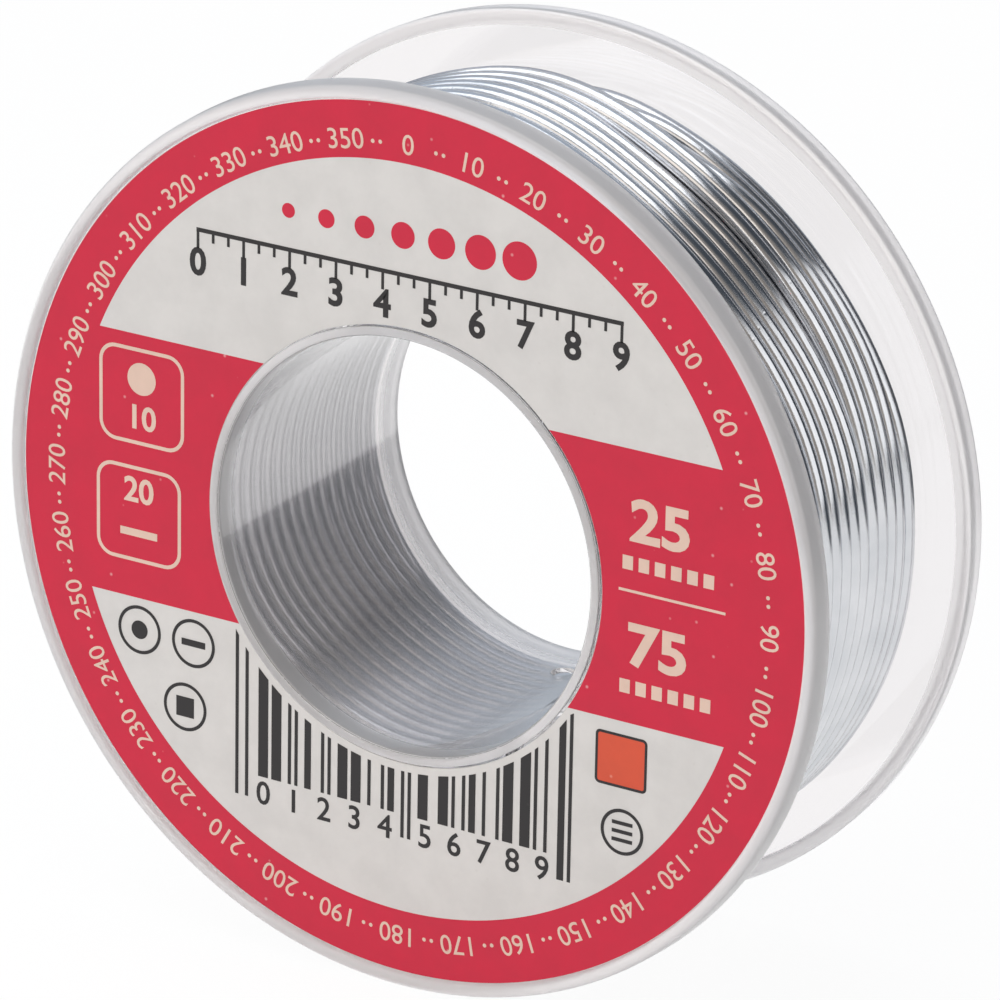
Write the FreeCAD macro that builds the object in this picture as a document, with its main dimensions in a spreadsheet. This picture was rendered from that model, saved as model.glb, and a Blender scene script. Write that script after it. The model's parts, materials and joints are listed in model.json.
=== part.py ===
import FreeCAD, Part
import math
import os

import Sketcher

# Solder wire spool, in millimetres. The spool's axis is Y, the labelled front faces -Y and +Z is up.
# The origin is on the axis, halfway between the two flanges' outer faces. Depths are counted along Y
# from the front face, and angles round the axis from +X towards +Z.

os.makedirs("parts", exist_ok=True)
doc = FreeCAD.newDocument("solder_wire_spool")

# Driving dimensions
DIMENSIONS = (
    ("spool_width", 18.7),
    ("flange_radius", 26.1),
    ("rim_draft", 0.1),
    ("flange_thickness", 1.7),
    ("label_recess", 0.45),
    ("rim_width", 0.85),
    ("rim_round", 0.3),
    ("lip_round", 0.12),
    ("bore_radius", 12.0),
    ("hub_wall", 0.8),
    ("hub_round", 0.2),
    ("label_thickness", 0.1),
    ("label_play", 0.05),
    ("wire_diameter", 1.0),
    ("rosin_diameter", 0.4),
    ("full_layers_radius", 21.6),
    ("top_layer_rise", 0.95),
    ("top_layer_depth", 12.0),
    ("turn_pitch", 1.52),
    ("turn_play", 0.05),
    ("crest_width", 0.2),
    ("first_turn_angle", -110.0),
    ("start_hole_diameter", 1.4),
    ("start_hole_depth", 15.1),
    ("start_hole_angle", -84.0),
    ("start_inset", 0.15),
)

# Counts of the winding: wires side by side in a full layer, and full layers below the top one
WIRES_PER_LAYER = 15
FULL_LAYERS = 10

sheet = doc.addObject("Spreadsheet::Sheet", "Sizes")
for row, (alias, number) in enumerate(DIMENSIONS, start=1):
    sheet.set(f"A{row}", alias)
    sheet.set(f"B{row}", str(number))
    sheet.setAlias(f"B{row}", alias)
doc.recompute()


class Size:
    """A length or angle that carries its number and the sheet formula that it comes from."""

    def __init__(self, number, formula):
        self.number = number
        self.formula = formula

    def __add__(self, other):
        return Size(self.number + other.number, f"({self.formula} + {other.formula})")

    def __sub__(self, other):
        return Size(self.number - other.number, f"({self.formula} - {other.formula})")

    def __mul__(self, factor):
        return Size(self.number * factor, f"({self.formula} * {factor})")

    def __truediv__(self, divisor):
        return Size(self.number / divisor, f"({self.formula} / {divisor})")


def size(alias):
    return Size(float(sheet.get(alias)), f"Sizes.{alias}")


spool_width = size("spool_width")
flange_radius = size("flange_radius")
rim_draft = size("rim_draft")
flange_thickness = size("flange_thickness")
label_recess = size("label_recess")
rim_width = size("rim_width")
rim_round = size("rim_round")
lip_round = size("lip_round")
bore_radius = size("bore_radius")
hub_wall = size("hub_wall")
hub_round = size("hub_round")
label_thickness = size("label_thickness")
label_play = size("label_play")
wire_diameter = size("wire_diameter")
rosin_diameter = size("rosin_diameter")
full_layers_radius = size("full_layers_radius")
top_layer_rise = size("top_layer_rise")
top_layer_depth = size("top_layer_depth")
turn_pitch = size("turn_pitch")
turn_play = size("turn_play")
crest_width = size("crest_width")
first_turn_angle = size("first_turn_angle")
start_hole_diameter = size("start_hole_diameter")
start_hole_depth = size("start_hole_depth")
start_hole_angle = size("start_hole_angle")
start_inset = size("start_inset")

# Places that several pieces share
hub_radius = bore_radius + hub_wall
recess_radius = flange_radius - rim_draft - rim_width
front_inner_face = flange_thickness
back_inner_face = spool_width - flange_thickness
front_to_middle = spool_width / 2
wire_radius = wire_diameter / 2
lower_core_radius = full_layers_radius - wire_diameter - turn_play
upper_core_radius = lower_core_radius + top_layer_rise
valley_depth = wire_radius * 0.9


def origin_plane(body, role):
    return next(item for item in body.Origin.OriginFeatures if item.Role == role)


def section(body, name, corners):
    """A closed outline of straight edges on the body's XY plane: x is the radius, y the depth."""
    sketch = body.newObject("Sketcher::SketchObject", name)
    sketch.AttachmentSupport = (origin_plane(body, "XY_Plane"), [""])
    sketch.MapMode = "FlatFace"
    points = [FreeCAD.Vector(radius.number, depth.number if depth else 0, 0) for radius, depth in corners]
    count = len(points)
    for index in range(count):
        sketch.addGeometry(Part.LineSegment(points[index], points[(index + 1) % count]), False)
    for index in range(count):
        sketch.addConstraint(Sketcher.Constraint("Coincident", index, 2, (index + 1) % count, 1))
    for index, (radius, depth) in enumerate(corners):
        place_corner(sketch, index, radius, depth)
    return sketch


def place_corner(sketch, index, radius, depth):
    """Ties one corner to its radius and depth. A depth of None puts it on the front face."""
    across = sketch.addConstraint(Sketcher.Constraint("DistanceX", -1, 1, index, 1, radius.number))
    sketch.setExpression(f"Constraints[{across}]", radius.formula)
    if depth is None:
        sketch.addConstraint(Sketcher.Constraint("PointOnObject", index, 1, -1))
        return
    along = sketch.addConstraint(Sketcher.Constraint("DistanceY", -1, 1, index, 1, depth.number))
    sketch.setExpression(f"Constraints[{along}]", depth.formula)


def turned_body(label, corners):
    """A body turned round the spool's axis from its section, with its front face at the spool's."""
    body = doc.addObject("PartDesign::Body", label)
    body.Label = label
    outline = section(body, f"{label}_section", corners)
    turned = body.newObject("PartDesign::Revolution", f"{label}_turned")
    turned.Profile = outline
    turned.ReferenceAxis = (outline, ["V_Axis"])
    turned.Angle = 360
    body.setExpression("Placement.Base.y", f"-({front_to_middle.formula})")
    doc.recompute()
    return body


def circle_edges(shape, places):
    """Names of the full circles that lie at the given pairs of radius and depth."""
    names = []
    for number, edge in enumerate(shape.Edges, start=1):
        if not isinstance(edge.Curve, Part.Circle) or not edge.isClosed():
            continue
        for radius, depth in places:
            depth_number = depth.number if depth else 0
            same_radius = math.isclose(edge.Curve.Radius, radius.number, abs_tol=1e-4)
            same_depth = math.isclose(edge.Curve.Center.y, depth_number, abs_tol=1e-4)
            if same_radius and same_depth:
                names.append(f"Edge{number}")
    return names


def round_edges(body, name, places, radius):
    """Rounds the circles at the given places of a body."""
    base = body.Tip
    names = circle_edges(base.Shape.copy(), places)
    if len(names) != len(places):
        raise ValueError(f"{name} found {len(names)} edges of {len(places)}")
    rounded = body.newObject("PartDesign::Fillet", name)
    rounded.Base = (base, names)
    rounded.setExpression("Radius", radius.formula)
    doc.recompute()


# Hub: a clear tube as long as the spool is wide, with a small hole for the wire's start
def make_hub():
    body = turned_body("hub_tube", (
        (bore_radius, None),
        (hub_radius, None),
        (hub_radius, spool_width),
        (bore_radius, spool_width),
    ))
    round_edges(body, "hub_mouths", ((bore_radius, None), (bore_radius, spool_width)), hub_round)
    solid_volume = body.Shape.Volume

    hole_circle = body.newObject("Sketcher::SketchObject", "start_hole_circle")
    hole_circle.AttachmentSupport = (origin_plane(body, "YZ_Plane"), [""])
    hole_circle.MapMode = "FlatFace"
    centre = FreeCAD.Vector(start_hole_depth.number, 0, 0)
    normal = FreeCAD.Vector(0, 0, 1)
    hole_circle.addGeometry(Part.Circle(centre, normal, start_hole_diameter.number / 2), False)
    hole_circle.addConstraint(Sketcher.Constraint("PointOnObject", 0, 3, -1))
    along = hole_circle.addConstraint(
        Sketcher.Constraint("DistanceX", -1, 1, 0, 3, start_hole_depth.number))
    hole_circle.setExpression(f"Constraints[{along}]", start_hole_depth.formula)
    wide = hole_circle.addConstraint(Sketcher.Constraint("Diameter", 0, start_hole_diameter.number))
    hole_circle.setExpression(f"Constraints[{wide}]", start_hole_diameter.formula)

    hole = body.newObject("PartDesign::Pocket", "start_hole")
    hole.Profile = hole_circle
    hole.Reversed = True
    hole.setExpression("Length", (hub_radius + hub_wall).formula)
    body.Placement = FreeCAD.Placement(
        FreeCAD.Vector(0, -front_to_middle.number, 0),
        FreeCAD.Rotation(FreeCAD.Vector(0, 1, 0), -start_hole_angle.number))
    doc.recompute()
    if body.Shape.Volume >= solid_volume:
        raise ValueError("the start hole cuts nothing")
    return body


# Flanges: thin clear discs on the hub's ends, each with a raised rim round a shallow recess
def make_flange(label, outer_face, inner_face, recess_floor):
    body = turned_body(label, (
        (hub_radius, recess_floor),
        (recess_radius, recess_floor),
        (recess_radius, outer_face),
        (flange_radius - rim_draft, outer_face),
        (flange_radius, inner_face),
        (hub_radius, inner_face),
    ))
    rim_places = ((flange_radius - rim_draft, outer_face), (flange_radius, inner_face))
    round_edges(body, f"{label}_rim", rim_places, rim_round)
    round_edges(body, f"{label}_lip", ((recess_radius, outer_face),), lip_round)
    return body


# Label: a paper ring in the front flange's recess
def make_label():
    label_back = label_recess
    label_front = label_recess - label_thickness
    label_hole_radius = hub_radius + label_play
    label_radius = recess_radius - label_play
    return turned_body("front_label", (
        (label_hole_radius, label_front),
        (label_radius, label_front),
        (label_radius, label_back),
        (label_hole_radius, label_back),
    ))


# Winding below the outer layer: a core with a step up to the top layer at the back. It has a rib for
# each wire that lies on the hub, and for each layer that reaches the flanges, which is every second one.
def ribbed(crests, place_crest, place_valley):
    """Corners of a row of ribs: a narrow flat on each crest and one point in each valley between."""
    corners = []
    for index, crest in enumerate(crests):
        if index:
            corners.append(place_valley((crests[index - 1] + crest) / 2))
        corners.extend(place_crest(crest))
    return corners


def flange_side_ribs(face, inwards):
    """Ribs of the layers that reach a flange, from the hub outwards, where inwards is 1 or -1."""
    layer_step = (full_layers_radius - wire_diameter - hub_radius) / (FULL_LAYERS - 1)
    crests = [hub_radius + wire_radius + layer_step * layer for layer in range(0, FULL_LAYERS, 2)]
    return ribbed(
        crests,
        lambda radius: [(radius - crest_width / 2, face), (radius + crest_width / 2, face)],
        lambda radius: (radius, face + valley_depth * inwards))


def hub_side_ribs():
    """Ribs of the wires that lie on the hub, from the back flange to the front one."""
    wound_pitch = (back_inner_face - front_inner_face) / WIRES_PER_LAYER
    crests = [back_inner_face - wound_pitch * (wire + 0.5) for wire in range(WIRES_PER_LAYER)]
    return ribbed(
        crests,
        lambda depth: [(hub_radius, depth + crest_width / 2), (hub_radius, depth - crest_width / 2)],
        lambda depth: (hub_radius + valley_depth, depth))


def make_inner_winding():
    slope_back = top_layer_depth + wire_radius
    slope_front = slope_back - turn_pitch
    return turned_body("inner_winding", (
        *flange_side_ribs(front_inner_face, 1),
        (lower_core_radius, front_inner_face),
        (lower_core_radius, slope_front),
        (upper_core_radius, slope_back),
        (upper_core_radius, back_inner_face),
        *reversed(flange_side_ribs(back_inner_face, -1)),
        *hub_side_ribs(),
    ))


class Turns:
    """The path of the outer layer: a helix on the core that climbs one layer in one turn."""

    def __init__(self):
        first_depth = (front_inner_face + turn_play + wire_radius).number
        last_depth = (back_inner_face - turn_play - wire_radius).number
        travel = last_depth - first_depth
        self.quarters = math.floor(4 * travel / turn_pitch.number)
        self.depth_step = travel / self.quarters
        self.first_depth = first_depth
        climb_depth = (top_layer_depth - turn_pitch).number
        self.climb_start = (climb_depth - first_depth) / self.depth_step
        self.low_radius = (lower_core_radius + turn_play + wire_radius).number

    def radius(self, quarter):
        climbed = min(max((quarter - self.climb_start) / 4, 0), 1)
        return self.low_radius + top_layer_rise.number * climbed

    def angle(self, quarter):
        return math.radians(first_turn_angle.number) - quarter * math.pi / 2

    def point(self, quarter):
        radius = self.radius(quarter)
        angle = self.angle(quarter)
        depth = self.first_depth + quarter * self.depth_step - front_to_middle.number
        return FreeCAD.Vector(radius * math.cos(angle), depth, radius * math.sin(angle))

    def direction(self, quarter):
        """The unit tangent, from the helix and the mean climb on both sides of the point."""
        radius = self.radius(quarter)
        angle = self.angle(quarter)
        outwards = FreeCAD.Vector(math.cos(angle), 0, math.sin(angle))
        clockwise = FreeCAD.Vector(math.sin(angle), 0, -math.cos(angle))
        climb = (self.radius(quarter + 1) - self.radius(quarter - 1)) / 2
        travel = outwards * climb + clockwise * (radius * math.pi / 2)
        travel += FreeCAD.Vector(0, self.depth_step, 0)
        return travel.normalize()


def arc_from(start, direction, end):
    """The arc that leaves start along direction and reaches end."""
    chord = end - start
    across = direction.cross(chord).normalize()
    radial = across.cross(direction)
    radius = chord.Length ** 2 / (2 * chord.dot(radial))
    centre = start + radial * radius
    middle = (start + end) / 2 - centre
    halfway = centre + middle.normalize() * radius
    return Part.Arc(start, halfway, end).toShape()


def biarc(start, start_direction, end, end_direction):
    """Two arcs that join smoothly and leave and reach the ends along the given directions."""
    chord = end - start
    both = start_direction + end_direction
    square = 2 * (1 - start_direction.dot(end_direction))
    lean = chord.dot(both)
    reach = (math.sqrt(lean ** 2 + square * chord.Length ** 2) - lean) / square
    joint = (start + start_direction * reach + end - end_direction * reach) / 2
    turned_back = joint - (start + start_direction * reach)
    return (
        arc_from(start, start_direction, joint),
        arc_from(joint, turned_back.normalize(), end),
    )


def turns_path():
    """The outer layer's centre line, with a straight end of one wire diameter at each side."""
    turns = Turns()
    first = turns.point(0)
    last = turns.point(turns.quarters)
    straight = wire_diameter.number
    edges = [Part.LineSegment(first - turns.direction(0) * straight, first).toShape()]
    for quarter in range(turns.quarters):
        edges.extend(biarc(
            turns.point(quarter), turns.direction(quarter),
            turns.point(quarter + 1), turns.direction(quarter + 1)))
    edges.append(Part.LineSegment(last, last + turns.direction(turns.quarters) * straight).toShape())
    return Part.Wire(edges)


def tube(path, diameter):
    """A solid round tube along a path."""
    start = path.Edges[0].valueAt(path.Edges[0].FirstParameter)
    direction = path.Edges[0].tangentAt(path.Edges[0].FirstParameter)
    ring = Part.Wire([Part.makeCircle(diameter.number / 2, start, direction)])
    return path.makePipeShell([ring], True, False)


def least_gap(path, diameter):
    """The smallest space between neighbouring turns, measured on points along the path."""
    samples = [point for edge in path.Edges for point in edge.discretize(9)[:-1]]
    per_turn = 8 * 8
    gap = math.inf
    for index, point in enumerate(samples):
        for other in samples[index + per_turn // 2:index + per_turn * 3 // 2]:
            gap = min(gap, point.distanceToPoint(other) - diameter.number)
    return gap


# Outer layer: one unbroken solder tube with its rosin core
def make_outer_turns():
    path = turns_path()
    rosin = tube(path, rosin_diameter)
    solder = tube(path, wire_diameter).cut(rosin)
    outer_turns = doc.addObject("Part::Feature", "outer_turns")
    outer_turns.Label = "outer_turns"
    outer_turns.Shape = solder.Solids[0]
    outer_turns.Placement = FreeCAD.Placement()
    rosin_core = doc.addObject("Part::Feature", "rosin_core")
    rosin_core.Label = "rosin_core"
    rosin_core.Shape = rosin
    rosin_core.Placement = FreeCAD.Placement()
    print("least gap between turns, mm:", round(least_gap(path, wire_diameter), 3))
    print("outer turns length, mm:", round(path.Length, 1))
    return outer_turns, rosin_core


# Wire start: the end of the innermost layer, held in the hub's small hole
def make_wire_start():
    start = doc.addObject("Part::Cylinder", "wire_start")
    start.Label = "wire_start"
    start.setExpression("Radius", wire_radius.formula)
    start.setExpression("Height", (hub_wall - start_inset - turn_play).formula)
    angle = math.radians(start_hole_angle.number)
    outwards = FreeCAD.Vector(math.cos(angle), 0, math.sin(angle))
    foot = outwards * (bore_radius + start_inset).number
    foot.y = (start_hole_depth - front_to_middle).number
    start.Placement = FreeCAD.Placement(foot, FreeCAD.Rotation(FreeCAD.Vector(0, 0, 1), outwards))
    return start


pieces = [
    make_hub(),
    make_flange("front_flange", None, front_inner_face, label_recess),
    make_flange("back_flange", spool_width, back_inner_face, spool_width - label_recess),
    make_label(),
    make_inner_winding(),
    *make_outer_turns(),
    make_wire_start(),
]
doc.recompute()

for item in doc.Objects:
    if "Invalid" in item.State or "Error" in item.State:
        raise ValueError(f"{item.Name} did not compute")
for piece in pieces:
    if piece.Shape.isNull() or not piece.Shape.isValid():
        raise ValueError(f"{piece.Label} has no valid shape")
    piece.Shape.exportStep(f"parts/{piece.Label}.step")
    print(piece.Label, "volume, mm3:", round(piece.Shape.Volume, 2))
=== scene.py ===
import json
import math
import random

import bmesh
import bpy
import numpy as np
from mathutils import Matrix, Vector


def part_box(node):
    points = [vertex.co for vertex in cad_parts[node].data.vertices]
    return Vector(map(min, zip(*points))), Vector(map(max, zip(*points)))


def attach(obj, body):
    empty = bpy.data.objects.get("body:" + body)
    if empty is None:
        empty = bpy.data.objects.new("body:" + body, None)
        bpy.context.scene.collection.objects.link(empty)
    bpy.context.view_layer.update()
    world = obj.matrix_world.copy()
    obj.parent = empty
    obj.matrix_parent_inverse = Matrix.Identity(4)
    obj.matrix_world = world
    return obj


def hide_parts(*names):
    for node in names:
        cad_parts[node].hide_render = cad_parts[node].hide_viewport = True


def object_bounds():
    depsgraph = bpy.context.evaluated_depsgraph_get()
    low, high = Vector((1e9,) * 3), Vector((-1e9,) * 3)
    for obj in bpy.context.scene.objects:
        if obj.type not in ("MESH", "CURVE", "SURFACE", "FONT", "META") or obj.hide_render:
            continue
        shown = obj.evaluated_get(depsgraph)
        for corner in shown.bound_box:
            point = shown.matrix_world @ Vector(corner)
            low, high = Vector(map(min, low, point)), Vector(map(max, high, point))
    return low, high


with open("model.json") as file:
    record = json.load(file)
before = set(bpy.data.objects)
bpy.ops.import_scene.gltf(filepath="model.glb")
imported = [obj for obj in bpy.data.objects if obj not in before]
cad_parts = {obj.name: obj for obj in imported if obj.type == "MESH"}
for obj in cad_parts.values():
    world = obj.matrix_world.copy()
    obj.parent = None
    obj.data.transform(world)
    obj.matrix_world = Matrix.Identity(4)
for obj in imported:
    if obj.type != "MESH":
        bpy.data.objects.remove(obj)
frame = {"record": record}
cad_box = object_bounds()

# Solder wire spool, dressed. Sizes are in millimetres and become metres where meshes are made.
MM = 0.001
BODY = "root"

# Sizes read from the frame
_, flange_high = (np.array(corner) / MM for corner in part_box("front_flange"))
_, hub_high = (np.array(corner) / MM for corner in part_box("hub_tube"))
label_low, label_high = (np.array(corner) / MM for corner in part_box("front_label"))
bore_mount = next(mount for mount in frame["record"]["mounts"] if mount["name"] == "bore")
HALF_WIDTH = float(hub_high[1])
INNER_HALF_WIDTH = float(-flange_high[1])
FLANGE_RADIUS = float(flange_high[2])
BORE_RADIUS = bore_mount["dims"]["r_mm"]
HUB_RADIUS = float(hub_high[2])
LABEL_RADIUS = float(label_high[2])
LABEL_FACE = float(label_low[1])
LABEL_BACK = float(label_high[1])
FLOOR_HEIGHT = float(cad_box[0][2]) / MM

# Clear plastic
RIM_WIDTH = 0.75
RIM_DRAFT = 0.1
RECESS_RADIUS = FLANGE_RADIUS - RIM_DRAFT - RIM_WIDTH
RIM_ROUND = 0.36
LIP_ROUND = 0.34
LIP_FOOT_ROUND = 0.1
RIM_EDGE_ROUND = 0.32
HUB_ROUND = 0.2
HUB_EDGE_ROUND = 0.1
HUB_FRONT_EDGE_ROUND = 0.05
HUB_END_RADIUS = 12.56
HUB_END_DROP = 0.25
SEAT_GAP = 0.02
ARC_STEPS = 6
LATHE_SEGMENTS = 192
FINE_LATHE_SEGMENTS = 256
# Where the plastic turns matt: spans across the recess's wall, the hub's end and the inner faces
RIM_FADE = (-0.1, -0.02)
END_FADE = (-0.15, -0.03)
BORE_FADE = (-0.05, 0.15)
BORE_MARGIN = 0.05
SEAT_MARGIN = 0.01
MATT_ROUGHNESS = 0.26
MILKINESS = 0.44
BORE_HAZE = 0.54

# The small hole in the hub where the wire starts, and the wire's start in it
START_HOLE_RADIUS = 0.7
START_HOLE_DEPTH = 15.1
START_HOLE_ANGLE = math.radians(-84)
START_HOLE_PLACE = Vector((0, START_HOLE_DEPTH - HALF_WIDTH, 0))
START_HOLE_OUTWARDS = Vector((math.cos(START_HOLE_ANGLE), 0, math.sin(START_HOLE_ANGLE)))
START_HOLE_CUT = 3
START_FOOT = BORE_RADIUS + 0.15
START_TOP = HUB_RADIUS + 0.1
START_BEVEL = 0.06

# Wire
WIRE_RADIUS = 0.49
ROSIN_RADIUS = 0.2
ROSIN_REACH = 0.012
TURN_PITCH = 1.02
LAYER_STEP = 0.915
FULL_LAYERS = 10
EVEN_LAYER_TURNS = 15
FIRST_LAYER_RADIUS = HUB_RADIUS + 0.52
END_TURN_DEPTH = INNER_HALF_WIDTH - 0.51
WIRE_ROOM = 0.5
INNER_SAMPLES = 72
OUTER_SAMPLES = 180
INNER_SIDES = 10
OUTER_SIDES = 16
WIRE_SMOOTH_ANGLE = 60
CROSSOVER_CENTRE = math.radians(222)
CROSSOVER_SPAN = math.radians(46)
TOP_RADIUS = FIRST_LAYER_RADIUS + FULL_LAYERS * LAYER_STEP
WANDER = 0.02
INNER_SEED = 3
OUTER_SEED = 11

# The top layer's turns from the back flange forwards: their depths at these angles, in degrees
# from +X towards +Z
TOP_ANGLES = (118, 100, 95, 90, 85, 80, 75, 70, 65, 60, 50, 40, 28, 16, 0, -20, -45)
TOP_DEPTHS = (
    (7.1, 7.1, 7.1, 7.1, 7.1, 7.1, 7.1, 7.1, 7.1, 7.1, 7.1, 7.1, 7.1, 7.1, 6.92, 7.1, 7.1),
    (6.6, 6.6, 6.6, 6.65, 6.7, 6.26, 6.12, 6.1, 6.12, 6.14, 6.12, 6.1, 6.26, 6.12, 5.85, 6.1,
     6.1),
    (5.9, 5.9, 5.9, 5.9, 5.8, 5.7, 5.62, 5.38, 5.25, 5.18, 5.2, 5.21, 5.26, 5.24, 4.95, 5.15,
     5.1),
    (7.15, 7.15, 7.05, 6.65, 6.24, 5.7, 5.14, 4.7, 4.41, 4.22, 4.1, 4.12, 4.22, 4.1, 3.86, 3.9,
     3.95),
    (6.13, 6.2, 6.0, 5.53, 5.03, 4.58, 4.08, 3.62, 3.3, 3.06, 2.93, 3.0, 3.18, 3.12, 2.87, 2.85,
     2.93),
    (5.11, 5.2, 4.95, 4.42, 3.98, 3.6, 3.34, 3.05, 2.78, 2.56, 2.43, 2.46, 2.37, 2.15, 1.85,
     1.85, 1.9),
    (4.09, 4.15, 3.7, 3.15, 2.85, 2.58, 2.4, 2.15, 1.85, 1.6, 1.4, 1.42, 1.42, 1.2, 0.85, 0.82,
     0.9),
    (3.07, 3.1, 2.7, 2.12, 1.85, 1.6, 1.42, 1.18, 0.9, 0.66, 0.45, 0.47, 0.5, 0.25, -0.15, -0.2,
     -0.1),
    (2.05, 2.05, 1.6, 1.08, 0.83, 0.58, 0.4, 0.18, -0.08, -0.32, -0.52, -0.5, -0.48, -0.75,
     -1.15, -1.2, -1.1),
)
# How far each of these turns is sunk between those below it. The last row goes for the rest.
TOP_SINKS = (
    (0.92, 0.92, 0.92, 0.78, 0.4, 0.25, 0.35, 0.45, 0.45, 0.45, 0.45, 0.45, 0.25, 0, 0, 0, 0),
    (1, 1, 1, 1, 0.95, 0.7, 0.15, 0.05, 0.15, 0.25, 0.2, 0.1, 0, 0, 0, 0, 0),
    (1, 1, 1, 1, 1, 0.95, 0.85, 0.65, 0.45, 0.2, 0, 0, 0, 0, 0, 0, 0),
    (0, 0, 0, 0, 0, 0, 0, 0, 0, 0, 0, 0, 0, 0, 0, 0, 0),
    (0, 0, 0, 0, 0, 0, 0, 0, 0, 0, 0, 0, 0, 0, 0, 0, 0),
    (0, 0, 0, 0.03, 0.15, 0.35, 0.62, 0.78, 0.84, 0.84, 0.84, 0.82, 0.5, 0.06, 0, 0, 0),
    (0, 0, 0, 0.03, 0.15, 0.35, 0.6, 0.8, 0.9, 0.92, 0.92, 0.88, 0.48, 0.1, 0, 0, 0),
)
TOP_TURNS = 15
# The top layer's first turns sink at this angle, below the turns that cross over them
CROSSED_TURNS = 2
CROSSED_ANGLE = -115
CROSSED_STEP = 0.2
CROSSED_SINK = 0.95
FREE_END_REACH = math.radians(80)
# The layer below sinks under the top layer's dip, fully between the two inner angles
DIP_ANGLES = (5, 35, 70, 95)
DIP_DROP = 0.85

# Label
LABEL_TILT = math.radians(-1.2)
LABEL_SHIFT = 0.06
LABEL_SINK = 0.01
LABEL_EDGE_ROUND = 0.03
LABEL_HOLE_RADIUS = HUB_END_RADIUS + 0.1
LABEL_EDGE_RADIUS = LABEL_RADIUS + 0.09
PRINT_LIFT = 0.006
PRINT_MARGIN = 0.03
RING_INNER_RADIUS = 21.73
RING_SHIFT = (-0.1, 0.22)
UPPER_FIELD_FLOOR = 8.8
LOWER_FIELD_TOP = -6.85
FONT_CAP_HEIGHT = 0.69

# Prints on the label, placed from its centre
GAUGE_DOTS = 7
GAUGE_START = (-7.6, 17.9)
GAUGE_PITCH = 2.45
GAUGE_RADIUS = 0.42
GAUGE_GROWTH = 0.11
RULER_START = -13.5
RULER_LINE = 15.55
RULER_NUMBERS_HEIGHT = 13.75
BARS_LEFT = -10.9
BARS_RIGHT = 11.4
BAR_UNIT = 0.22
BARS_FOOT = -15.7
GUARD_BARS_FOOT = -17.1
BAR_NUMBERS_HEIGHT = -16.75
DIAL_RADIUS = 22.95
DIAL_STEP = math.pi / 18

# Camera, at the photograph's angle: azimuth turns it towards +X
CAMERA_AZIMUTH = math.radians(31.995)
CAMERA_ELEVATION = math.radians(20.23)
CAMERA_DISTANCE = 373.9
FRONT_CENTRE_RIGHT = -5.53
FRONT_CENTRE_UP = -2.72
LENS = 247.7
SENSOR = 36

# Floor, world and lamps. A lamp has a name, place, aim, size, brightness and colour.
FLOOR_REACH = 4000
TABLE_EDGE = 95
TABLE_EDGE_BLUR = 6
FLOOR_GLOW = 0.93
FLOOR_SHADOW_SHARE = 0.08
FLOOR_BOUNCE = 0.7
WHITE = (1, 1, 1, 1)
ROOM_COLOUR = (0.06, 0.07, 0.085)
ROOM_LEFT_COLOUR = (0.52, 0.58, 0.66)
ROOM_FRONT_COLOUR = (0.38, 0.34, 0.3)
LAMPS = (
    ("right_softbox", (640, 0, 285), (0, 0, 0), (800, 560), 1.15, (1, 1, 1)),
    ("overhead_softbox", (-294, -57, 600), (-294, -57, 0), (842, 480), 1.55, (1, 1, 1)),
    ("front_softbox", (-240, -600, 472), (0, 0, 0), (1000, 340), 0.95, (1, 0.91, 0.8)),
    ("key_softbox", (-80, -776, 168), (0, 0, 0), (700, 360), 1.6, (1, 1, 1)),
)


def link(name, mesh, material, smooth_angle=35):
    """A new piece from a mesh, smooth but for edges sharper than the angle."""
    piece = bpy.data.objects.new(name, mesh)
    bpy.context.scene.collection.objects.link(piece)
    mesh.materials.append(material)
    mesh.shade_smooth()
    mesh.set_sharp_from_angle(angle=math.radians(smooth_angle))
    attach(piece, BODY)
    return piece


def mesh_from(name, points, faces):
    mesh = bpy.data.meshes.new(name)
    mesh.from_pydata((np.asarray(points) * MM).tolist(), [], faces)
    mesh.update()
    return mesh


def fix_normals(mesh):
    shape = bmesh.new()
    shape.from_mesh(mesh)
    bmesh.ops.recalc_face_normals(shape, faces=shape.faces)
    shape.to_mesh(mesh)
    shape.free()


# Node helpers
def new_material(name):
    material = bpy.data.materials.new(name)
    material.use_nodes = True
    tree = material.node_tree
    return material, tree, tree.nodes["Principled BSDF"], tree.nodes["Material Output"]


def add(tree, kind, settings=None, **inputs):
    """A new node. Its inputs, by name or as i0, i1 and so on, are sockets to link or values."""
    node = tree.nodes.new(kind)
    for name, value in (settings or {}).items():
        setattr(node, name, value)
    for name, value in inputs.items():
        by_index = name[0] == "i" and name[1:].isdigit()
        socket = node.inputs[int(name[1:]) if by_index else name]
        if isinstance(value, bpy.types.NodeSocket):
            tree.links.new(value, socket)
        else:
            socket.default_value = value
    return node


def arithmetic(tree, operation, *values):
    """The result of a maths node on sockets or numbers."""
    inputs = {f"i{index}": value for index, value in enumerate(values)}
    return add(tree, "ShaderNodeMath", {"operation": operation}, **inputs).outputs[0]


def product(tree, first, second):
    return arithmetic(tree, "MULTIPLY", first, second)


def blend(tree, value, start, end, first=0.0, last=1.0, interpolation="LINEAR"):
    """Goes from first to last while the value goes from start to end."""
    node = add(tree, "ShaderNodeMapRange", {"interpolation_type": interpolation}, Value=value)
    bounds = {"From Min": start, "From Max": end, "To Min": first, "To Max": last}
    for name, number in bounds.items():
        node.inputs[name].default_value = number
    return node.outputs["Result"]


def fade(tree, value, edge, span, first=0.0):
    """Goes from first to 1 over a span that is given as distances from an edge."""
    return blend(tree, value, edge + span[0], edge + span[1], first)


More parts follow.
